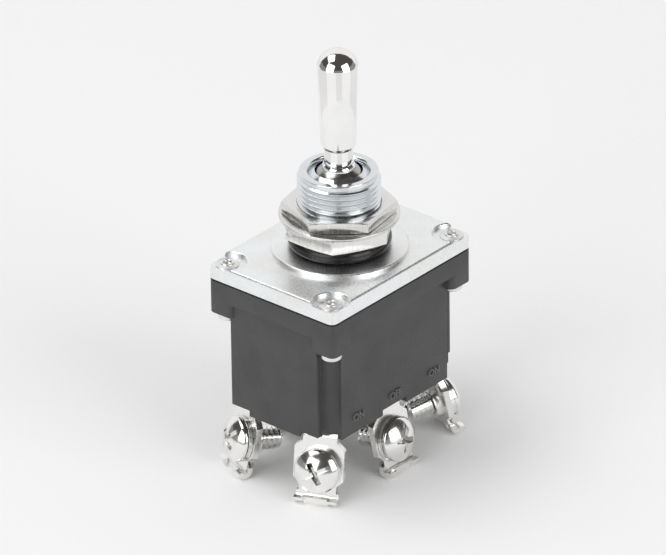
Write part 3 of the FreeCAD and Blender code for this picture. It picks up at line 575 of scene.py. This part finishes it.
def leverPiece(sizes):
    ballFoot = math.degrees(math.asin(-math.sqrt(1 - (sizes["tailRadius"] / sizes["ball"]) ** 2)))
    ballTop = math.degrees(math.acos(sizes["collar"] / sizes["ball"]))
    rise = sizes["top"] - sizes["batTop"]
    domeRadius = (sizes["batRadius"] ** 2 + rise ** 2) / (2 * rise)
    domeStart = math.degrees(math.acos(sizes["batRadius"] / domeRadius))
    shoulder = sizes["neckTop"] + sizes["shoulder"]
    outline = [(0, sizes["tailEnd"]), (sizes["tailRadius"] - 0.1, sizes["tailEnd"])]
    outline += [(sizes["tailRadius"], sizes["tailEnd"] + 0.1)]
    outline += arcPoints((0, sizes["ballHeight"]), sizes["ball"], ballFoot, ballTop, 28)
    outline += [
        (sizes["collar"] - 0.04, sizes["neckStart"] - 0.42),
        (sizes["collar"] - 0.14, sizes["neckStart"] - 0.2),
        (sizes["neck"] + 0.05, sizes["neckStart"] - 0.05),
        (sizes["neck"], sizes["neckStart"]),
        (sizes["neck"], sizes["neckTop"] - 0.05),
        (sizes["neck"] + 0.06, sizes["neckTop"]),
        (sizes["neck"] + 0.14, sizes["neckTop"] + 0.03),
        (sizes["batFoot"] - 0.16, shoulder - 0.2),
        (sizes["batFoot"] - 0.05, shoulder - 0.06),
        (sizes["batFoot"], shoulder + 0.08),
        (sizes["batRadius"] - 0.012, sizes["batTop"] - 0.12),
        (sizes["batRadius"] - 0.012, sizes["batTop"] - 0.05),
    ]
    outline += arcPoints((0, sizes["top"] - domeRadius), domeRadius, domeStart, 89.4, 22)
    outline += [(0, sizes["top"])]
    mesh = turnedMesh("leverMesh", outline, steps=128)
    mesh.materials.append(finishes["lever_nickel"])
    # painted shade: the ball and collar, down in the bushing's mouth, take the darker plate
    mesh.materials.append(finishes["ball"])
    for face in mesh.polygons:
        if face.center.z < (sizes["neckStart"] - 0.6) * mm:
            face.material_index = 1
    mesh.transform(Matrix.Translation((0, 0, seatHeight * mm)))
    crispSmooth(mesh, 30)
    return addPiece("batLever", mesh, "lever_nickel", "lever", "lever")


lever = leverPiece(leverSizes)
print("lever:", len(lever.data.polygons), "faces")


# Terminal screws: a turned blank, its thread and its recess, six times by one tree
screwSizes = {
    "shank": 1.753,
    "threadDepth": 0.42,
    "pitch": 25.4 / 32,
    "reach": 5.9,
    "head": 3.3,
    "rim": 0.55,
    "dome": 1.35,
    "headSeat": 0.7,
    "slotLength": 9,
    "slotWidth": 0.62,
    "slotDepth": 0.62,
    "crossLength": 3.9,
    "crossWidth": 0.95,
    "crossDepth": 1.5,
    "crossTaper": 0.42,
}
screwRolls = {  # how far each head happens to be turned, in degrees
    "a_left": 28, "a_middle": 74, "a_right": 12, "b_left": 52, "b_middle": 96, "b_right": 140,
}


def screwTree(sizes):
    tree = Tree("bindingScrew")
    body = tree.value("Geometry", "Geometry")
    slot, cross = tree.value("slotSize", "Vector"), tree.value("crossSize", "Vector")
    headTop, roll = tree.value("headTop"), tree.value("roll")
    seat, lean = tree.value("seat", "Vector"), tree.value("lean", "Vector")
    metal = tree.value("metal", "Material")
    top = tree.xyz(0.0, 0.0, headTop)
    bar = tree.node(
        "GeometryNodeTransform", Geometry=tree.node("GeometryNodeMeshCube", Size=slot),
        Translation=top,
    )
    cuts = [bar]
    for turn in (0, 90):  # the two wings of the cross taper towards its foot
        wing = tree.node(
            "GeometryNodeMeshCone", Vertices=4, Radius_Top=1.0,
            Radius_Bottom=sizes["crossTaper"], Depth=1.0,
        )
        flat = tree.node(
            "GeometryNodeTransform", Geometry=wing, Rotation=(0, 0, math.radians(45)),
            Translation=(0, 0, -1),
        )
        thin = tree.node("GeometryNodeTransform", Geometry=flat, Scale=cross)
        cuts.append(tree.node(
            "GeometryNodeTransform", Geometry=thin, Rotation=(0, 0, math.radians(turn)),
            Translation=top,
        ))
    recessed = body
    for cut in cuts:
        recessed = tree.node(
            "GeometryNodeMeshBoolean", {"operation": "DIFFERENCE"}, Mesh_1=recessed, Mesh_2=cut
        )
    ridge = threadRidge(tree, threadForm)
    joined = tree.node("GeometryNodeJoinGeometry", Geometry=[recessed, ridge])
    rolled = tree.node("GeometryNodeTransform", Geometry=joined, Rotation=tree.xyz(0.0, 0.0, roll))
    placed = tree.node("GeometryNodeTransform", Geometry=rolled, Rotation=lean, Translation=seat)
    whole = tree.node("GeometryNodeRealizeInstances", Geometry=placed)
    tree.finish(tree.node("GeometryNodeSetMaterial", Geometry=whole, Material=metal))
    return tree


def screwBlank(sizes):
    root = sizes["shank"] - sizes["threadDepth"]
    rimTop = sizes["headSeat"] + sizes["rim"]
    sphere = (sizes["head"] ** 2 + sizes["dome"] ** 2) / (2 * sizes["dome"])
    edge = math.degrees(math.acos((sizes["head"] - 0.08) / sphere))
    return turnedMesh("screwBlank", [
        (0, -sizes["reach"]),
        (root - 0.25, -sizes["reach"]),
        (root, -sizes["reach"] + 0.35),
        (root, 0.25),
        (sizes["shank"] - 0.02, 0.4),
        (sizes["shank"] - 0.02, sizes["headSeat"]),
        (sizes["head"] - 0.12, sizes["headSeat"]),
        (sizes["head"], sizes["headSeat"] + 0.12),
        (sizes["head"], rimTop - 0.1),
        *arcPoints((0, rimTop + sizes["dome"] - sphere), sphere, edge + 0.6, 89, 12),
        (0, rimTop + sizes["dome"]),
    ], steps=72)


screws = screwTree(screwSizes)
screwPieces = {}
for mount in screwMounts:
    where = mount["name"].removeprefix("terminal_")
    axis = Vector(mount["axis"])
    lean = axis.to_track_quat("Z", "Y").to_euler()
    headTop = screwSizes["headSeat"] + screwSizes["rim"] + screwSizes["dome"]
    mesh = screws.run("screwMesh_" + where, screwBlank(screwSizes), {
        "threadRadius": screwSizes["shank"] * mm,
        "threadDepth": screwSizes["threadDepth"] * mm,
        "pitch": screwSizes["pitch"] * mm,
        "threadLength": (screwSizes["reach"] + 0.1) * mm,
        "threadFoot": -(screwSizes["reach"] - 0.1) * mm,
        "slotSize": (
            screwSizes["slotLength"] * mm,
            screwSizes["slotWidth"] * mm,
            2 * screwSizes["slotDepth"] * mm,
        ),
        "crossSize": (
            screwSizes["crossLength"] / 2 * math.sqrt(2) * mm,
            screwSizes["crossWidth"] / 2 * math.sqrt(2) * mm,
            screwSizes["crossDepth"] * mm,
        ),
        "headTop": headTop * mm,
        "roll": math.radians(screwRolls[where]),
        "seat": tuple(mount["pos_m"]),
        "lean": tuple(lean),
        "metal": finishes["screw_nickel"],
    })
    crispSmooth(mesh, 34)
    screwPieces[where] = addPiece(
        "bindingScrew_" + where, mesh, "screw_nickel", "screw_" + where, "terminal_screw_" + where
    )
print("screws:", len(screwPieces), "of", len(screwPieces["a_left"].data.polygons), "faces")


# Corner rivets: one turned tube with a rolled eye, set at the four corners
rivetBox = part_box("corner_rivet_front_right")
rivetSizes = {
    "insetX": (rivetBox[0].x + rivetBox[1].x) / 2 / mm,
    "insetY": -(rivetBox[0].y + rivetBox[1].y) / 2 / mm,
    "shank": 1.28,
    "head": 1.72,
    "rim": 0.15,
    "lip": 1.02,
    "eye": 0.62,
    "eyeDepth": 0.52,
    "headRise": 0.42,
    "top": rivetBox[1].z / mm,
    "roll": 1.48,
    "rollDrop": 1.18,
    "foot": rivetBox[0].z / mm,
}


def rivetPieces(sizes):
    top, foot = sizes["top"], sizes["foot"]
    flange, rollTop = top - sizes["headRise"], foot + sizes["rollDrop"]
    crest = (sizes["lip"] + sizes["eye"]) / 2  # the lip is half a ring round the eye
    half = (sizes["lip"] - sizes["eye"]) / 2
    blank = turnedMesh("rivetBlank", [
        (0, rollTop + 0.5),
        (0.62, rollTop + 0.4),
        (0.8, foot + 0.35),
        *arcPoints((1.14, foot + 0.34), 0.34, 180, 360, 8),
        (sizes["roll"], rollTop),
        (sizes["shank"], rollTop),
        (sizes["shank"], flange),
        (sizes["head"] - 0.02, flange),
        (sizes["head"], flange + 0.04),
        (sizes["head"] - 0.02, flange + sizes["rim"] - 0.03),
        (sizes["head"] - 0.07, flange + sizes["rim"]),
        (sizes["lip"] + 0.12, flange + sizes["rim"] + 0.04),
        (sizes["lip"] + 0.03, flange + sizes["rim"] + 0.08),
        *arcPoints((crest, top - half), half, 0, 180, 8),
        (sizes["eye"] - 0.04, top - sizes["eyeDepth"] + 0.08),
        (sizes["eye"] - 0.16, top - sizes["eyeDepth"]),
        (0, top - sizes["eyeDepth"] - 0.06),
    ], steps=48)
    tree = Tree("cornerRivets")
    one = tree.value("Geometry", "Geometry")
    spanX, spanY = tree.value("spanX"), tree.value("spanY")
    metal = tree.value("metal", "Material")
    corners = tree.node(
        "GeometryNodeMeshGrid", Size_X=spanX, Size_Y=spanY, Vertices_X=2, Vertices_Y=2
    )
    spin = tree.node(
        "FunctionNodeRandomValue", {"data_type": "FLOAT_VECTOR"},
        in0=(0, 0, 0), in1=(0, 0, 6.28), Seed=4,
    )
    placed = tree.node("GeometryNodeInstanceOnPoints", Points=corners, Instance=one, Rotation=spin)
    whole = tree.node("GeometryNodeRealizeInstances", Geometry=placed)
    tree.finish(tree.node("GeometryNodeSetMaterial", Geometry=whole, Material=metal))
    mesh = tree.run("rivetMesh", blank, {
        "spanX": 2 * sizes["insetX"] * mm,
        "spanY": 2 * sizes["insetY"] * mm,
        "metal": finishes["rivet_nickel"],
    })
    crispSmooth(mesh, 38)
    return addPiece(
        "tubularRivets", mesh, "rivet_nickel", "switch",
        "corner_rivet_front_left", "corner_rivet_front_right",
        "corner_rivet_back_left", "corner_rivet_back_right",
    )


rivets = rivetPieces(rivetSizes)
print("rivets:", len(rivets.data.polygons), "faces")


# The case, the nuts and their washer keep their CAD form and get broken edges
edgeSizes = {
    "case": 0.22,
    "lower_hex_nut": 0.07,
    "upper_hex_nut": 0.07,
    "panel_washer": 0.08,
}
for nodeName, edge in edgeSizes.items():
    mesh = edgedCopy(nodeName, edge)
    addPiece(nodeName + "_edged", mesh, slotOf[nodeName], bodyOf[nodeName], nodeName)
print("edged pieces:", len(edgeSizes))


# Terminals: the CAD form, with its foot as the press leaves it and two curled prongs.
# Places are across the tab, down from its screw's axis and outward from its face.
tabSizes = {
    "sides": ((4.4, 1.5), (3.6, 1.5), (2.75, 2.25), (2.75, 3.3), (1.8, 3.3), (1.8, 7), (4.4, 7)),
    "middle": ((-1.8, 3), (1.8, 3), (1.8, 7), (-1.8, 7)),
    "pressReach": (-4, 6),
    "webReach": 0.45,
    "prong": (1.8, 3.15),
    "prongTop": 3.3,
    "thickness": 0.75,
    "curl": 0.32,
    "curlDown": 3.82,
    "curlTurn": 165,
    "curlSteps": 14,
}


def tabPlace(mount):
    # gives a point of the tab from millimetres across, down and outward
    out = Vector(mount["axis"])
    across = Vector((0, 0, 1)).cross(out).normalized()
    down = across.cross(out)
    if down.z > 0:
        down = -down
    start = Vector(mount["pos_m"])
    return lambda x, y, level: start + (across * x + down * y + out * level) * mm


def prism(form, ends):
    # a closed solid between two outlines of as many points
    rings = [[form.verts.new(point) for point in end] for end in ends]
    made = [form.faces.new(rings[0]), form.faces.new(rings[1])]
    for k in range(len(rings[0])):
        after = (k + 1) % len(rings[0])
        made.append(form.faces.new((rings[0][k], rings[0][after], rings[1][after], rings[1][k])))
    bmesh.ops.recalc_face_normals(form, faces=made)


def stampedOut(place, sizes):
    form = bmesh.new()
    mirrored = tuple((-x, y) for x, y in sizes["sides"])
    start, stop = sizes["pressReach"]
    for outline, near in (
        (sizes["sides"], start), (mirrored, start), (sizes["middle"], sizes["webReach"])
    ):
        prism(form, [[place(x, y, level) for x, y in outline] for level in (near, stop)])
    return meshFromForm(form, "stampedOut")


def addProngs(mesh, place, sizes):
    # two narrow strips that curl up towards the wire
    inner, outer = sizes["curl"], sizes["curl"] + sizes["thickness"]
    count = sizes["curlSteps"]
    turns = [math.radians(180 + sizes["curlTurn"] * k / count) for k in range(count + 1)]
    outline = [(0, sizes["prongTop"])]
    outline += [
        (inner + inner * math.cos(t), sizes["curlDown"] - inner * math.sin(t)) for t in turns
    ]
    outline += [
        (inner + outer * math.cos(t), sizes["curlDown"] - outer * math.sin(t)) for t in turns[::-1]
    ]
    outline += [(-sizes["thickness"], sizes["prongTop"])]
    form = bmesh.new()
    form.from_mesh(mesh)
    for side in (-1, 1):
        prism(form, [[place(side * x, y, level) for level, y in outline] for x in sizes["prong"]])
    form.to_mesh(mesh)
    form.free()
    crispSmooth(mesh, 28)


for mount in screwMounts:
    nodeName = mount["name"]
    place = tabPlace(mount)
    mesh = edgedCopy(nodeName, 0, stamped=stampedOut(place, tabSizes))
    addProngs(mesh, place, tabSizes)
    addPiece(nodeName + "_edged", mesh, slotOf[nodeName], bodyOf[nodeName], nodeName)
print("terminals:", len(screwMounts))


# Raised moulded marks at the foot of the case's long side; the maker's place stays bare
markSizes = {
    "height": 1.05,
    "fontSize": 1.4,  # of the letters' height
    "proud": 0.02,
    "depth": 0.2,
    "edge": 0.03,
    "foot": 11.8,
    "wall": -10.0,  # the case's long side at its top, and its draft
    "draft": 0.4,
    "words": (("ON", -8.1), ("OFF", 0.0), ("ON", 8.5)),
}


def caseMarks(sizes):
    form = bmesh.new()
    for word, across in sizes["words"]:
        letters = bpy.data.curves.new("mark" + word, "FONT")
        letters.body = word
        letters.size = sizes["height"] * sizes["fontSize"] * mm
        letters.align_x = "CENTER"
        letters.extrude = sizes["depth"] * mm
        letters.bevel_depth = sizes["edge"] * mm
        letters.bevel_resolution = 1
        maker = bpy.data.objects.new("markMaker", letters)
        bpy.context.scene.collection.objects.link(maker)
        mesh = plainMesh(maker, "markWord")
        turn = Matrix.Rotation(math.radians(90), 4, "X")
        shift = Matrix.Translation((across * mm, 0, sizes["foot"] * mm))
        mesh.transform(shift @ turn)
        form.from_mesh(mesh)
        bpy.data.meshes.remove(mesh)
    # each letter follows the drafted wall
    slope = math.tan(math.radians(sizes["draft"]))
    sunk = (sizes["depth"] + sizes["edge"] - sizes["proud"]) * mm
    for vertex in form.verts:
        wall = sizes["wall"] * mm - (seatHeight * mm - vertex.co.z) * slope
        vertex.co.y += wall + sunk
    mesh = meshFromForm(form, "markMesh")
    # painted highlight: the letters are the case's own plastic, given a paler colour for the light
    # their raised faces catch
    mesh.materials.append(mouldedPlastic("sheenedMouldedMark", (0.095, 0.095, 0.096), 0.5))
    crispSmooth(mesh, 40)
    return addPiece("caseMarks", mesh, "phenolic", "switch")


marks = caseMarks(markSizes)
print("marks:", len(marks.data.polygons), "faces")


# Floor, world and lamps: white paper all round, and on the camera's side a dark room.
# The room and the grey papers are seen by gloss only; they give the plating its darks.
studio = {
    "floor": (0.9, 0.9, 0.9),
    "backdrop": (0.905, 0.905, 0.905),
    "fill": 0.5,
    "lamps": {  # where each stands, its size and its power
        "overhead": {"at": (-0.46, 0.70, 1.73), "size": (1.3, 1.0), "power": 11.4},
        "left": {"at": (-1.58, 0.06, 0.80), "size": (1.3, 1.3), "power": 11.4},
        "right": {"at": (0.0, -1.61, 0.75), "size": (1.2, 1.2), "power": 11.4},
    },
    "room": {  # its wall is paler low down: from and up to a height on a unit sphere, shade
        "radius": 2.6,
        "cut": -0.45,
        "bands": ((0.02, 0.33, (0.26, 0.257, 0.25)), (0.33, 1.0, (0.075, 0.07, 0.066))),
    },
    "papers": (  # greys on the floor: bearing and half width in degrees, reach in metres, shade
        (8, 17, (0.08, 0.4), 0.8),
        (-98, 34, (0.08, 0.4), 0.8),
        (110, 34, (0.08, 0.4), 0.8),
    ),
    "facing": (-0.759, -0.651),  # level direction from the object to the camera
}


def floorPiece(colour):
    form = bmesh.new()
    bmesh.ops.create_grid(form, x_segments=1, y_segments=1, size=3.0)
    mesh = meshFromForm(form, "floorMesh")
    paper = bpy.data.materials.new("palePaper")
    paper.use_nodes = True
    shader = paper.node_tree.nodes["Principled BSDF"]
    shader.inputs["Base Color"].default_value = (*colour, 1)
    shader.inputs["Roughness"].default_value = 0.9
    shader.inputs["Specular IOR Level"].default_value = 0.1
    mesh.materials.append(paper)
    floor = bpy.data.objects.new("floor", mesh)
    bpy.context.scene.collection.objects.link(floor)


def worldLight(backdrop, fill):
    world = bpy.data.worlds.new("studio")
    bpy.context.scene.world = world
    world.use_nodes = True
    tree = world.node_tree
    shown = tree.nodes["Background"]
    shown.inputs["Color"].default_value = (*backdrop, 1)
    shown.inputs["Strength"].default_value = 1.0
    soft = tree.nodes.new("ShaderNodeBackground")
    soft.inputs["Color"].default_value = (1, 1, 1, 1)
    soft.inputs["Strength"].default_value = fill
    path = tree.nodes.new("ShaderNodeLightPath")
    seen = tree.nodes.new("ShaderNodeMath")
    seen.operation = "MAXIMUM"
    either = tree.nodes.new("ShaderNodeMath")
    either.operation = "MAXIMUM"
    mix = tree.nodes.new("ShaderNodeMixShader")
    tree.links.new(path.outputs["Is Camera Ray"], seen.inputs[0])
    tree.links.new(path.outputs["Is Glossy Ray"], seen.inputs[1])
    tree.links.new(seen.outputs["Value"], either.inputs[0])
    tree.links.new(path.outputs["Is Transmission Ray"], either.inputs[1])
    tree.links.new(either.outputs["Value"], mix.inputs["Fac"])
    tree.links.new(soft.outputs["Background"], mix.inputs[1])
    tree.links.new(shown.outputs["Background"], mix.inputs[2])
    tree.links.new(mix.outputs["Shader"], tree.nodes["World Output"].inputs["Surface"])


def aimed(at, towards=(0, 0, 0.03)):
    back = Vector(at) - Vector(towards)
    return Matrix.Translation(at) @ back.to_track_quat("Z", "Y").to_matrix().to_4x4()


def glossOnly(name, mesh, shade):
    glow = bpy.data.materials.new(name + "Shade")
    glow.use_nodes = True
    shader = glow.node_tree.nodes["Principled BSDF"]
    shader.inputs["Base Color"].default_value = (0, 0, 0, 1)
    shader.inputs["Specular IOR Level"].default_value = 0
    shader.inputs["Emission Color"].default_value = (*shade, 1)
    shader.inputs["Emission Strength"].default_value = 1
    mesh.materials.append(glow)
    board = bpy.data.objects.new(name, mesh)
    bpy.context.scene.collection.objects.link(board)
    board.visible_camera = False
    board.visible_diffuse = False
    board.visible_shadow = False
    board.visible_transmission = False


def areaLamps(lamps):
    for name, lamp in lamps.items():
        light = bpy.data.lights.new(name, "AREA")
        light.shape = "RECTANGLE"
        light.size, light.size_y = lamp["size"]
        light.energy = lamp["power"]
        holder = bpy.data.objects.new(name, light)
        holder.matrix_world = aimed(lamp["at"])
        bpy.context.scene.collection.objects.link(holder)


def darkRoom(room, facing):
    for number, (low, high, shade) in enumerate(room["bands"]):
        form = bmesh.new()
        bmesh.ops.create_uvsphere(form, u_segments=96, v_segments=48, radius=1)
        others = []
        for face in form.faces:
            middle = face.calc_center_median()
            if not low <= middle.z < high or middle.dot(facing) < room["cut"]:
                others.append(face)
        bmesh.ops.delete(form, geom=others, context="FACES")
        bmesh.ops.scale(form, vec=(room["radius"],) * 3, verts=form.verts)
        glossOnly(f"darkRoom{number}", meshFromForm(form, "darkRoomMesh"), shade)


def floorPapers(papers, facing):
    for number, (bearing, half, (near, far), shade) in enumerate(papers):
        form = bmesh.new()
        turns = [bearing + half * (k / 4 - 1) for k in range(9)]
        rays = [facing @ Matrix.Rotation(math.radians(-turn), 3, "Z") for turn in turns]
        inner, outer = (
            [form.verts.new((ray.x * reach, ray.y * reach, 0.6 * mm)) for ray in rays]
            for reach in (near, far)
        )
        for k in range(8):
            form.faces.new((inner[k], outer[k], outer[k + 1], inner[k + 1]))
        glossOnly(f"floorPaper{number}", meshFromForm(form, "paperMesh"), (shade,) * 3)


floorPiece(studio["floor"])
worldLight(studio["backdrop"], studio["fill"])
areaLamps(studio["lamps"])
cameraSide = Vector((*studio["facing"], 0))
darkRoom(studio["room"], cameraSide)
floorPapers(studio["papers"], cameraSide)
print("studio set")


# Camera, from the photograph
shot = {
    "azimuth": -49.36,
    "elevation": 28.46,
    "roll": -0.78,
    "distance": 1279.0,
    "target": (-4.43, -2.46, 30.31),
    "lens": 491.0,
}


def cameraPiece(settings):
    turn, rise = math.radians(settings["azimuth"]), math.radians(settings["elevation"])
    roll = math.radians(settings["roll"])
    back = Vector((
        math.sin(turn) * math.cos(rise), -math.cos(turn) * math.cos(rise), math.sin(rise)
    ))
    right = Vector((math.cos(turn), math.sin(turn), 0))
    up = back.cross(right)
    tilted = right * math.cos(roll) + up * math.sin(roll)
    upright = up * math.cos(roll) - right * math.sin(roll)
    camera = bpy.data.cameras.new("photoCamera")
    camera.lens = settings["lens"]
    camera.sensor_width = 36
    camera.clip_start, camera.clip_end = 0.05, 20
    holder = bpy.data.objects.new("photoCamera", camera)
    bpy.context.scene.collection.objects.link(holder)
    facing = Matrix((tilted, upright, back)).transposed().to_4x4()
    target = Vector(settings["target"]) * mm
    holder.matrix_world = Matrix.Translation(target + back * settings["distance"] * mm) @ facing
    bpy.context.scene.camera = holder


cameraPiece(shot)
bpy.context.scene.view_settings.view_transform = "Standard"
print("scene done")
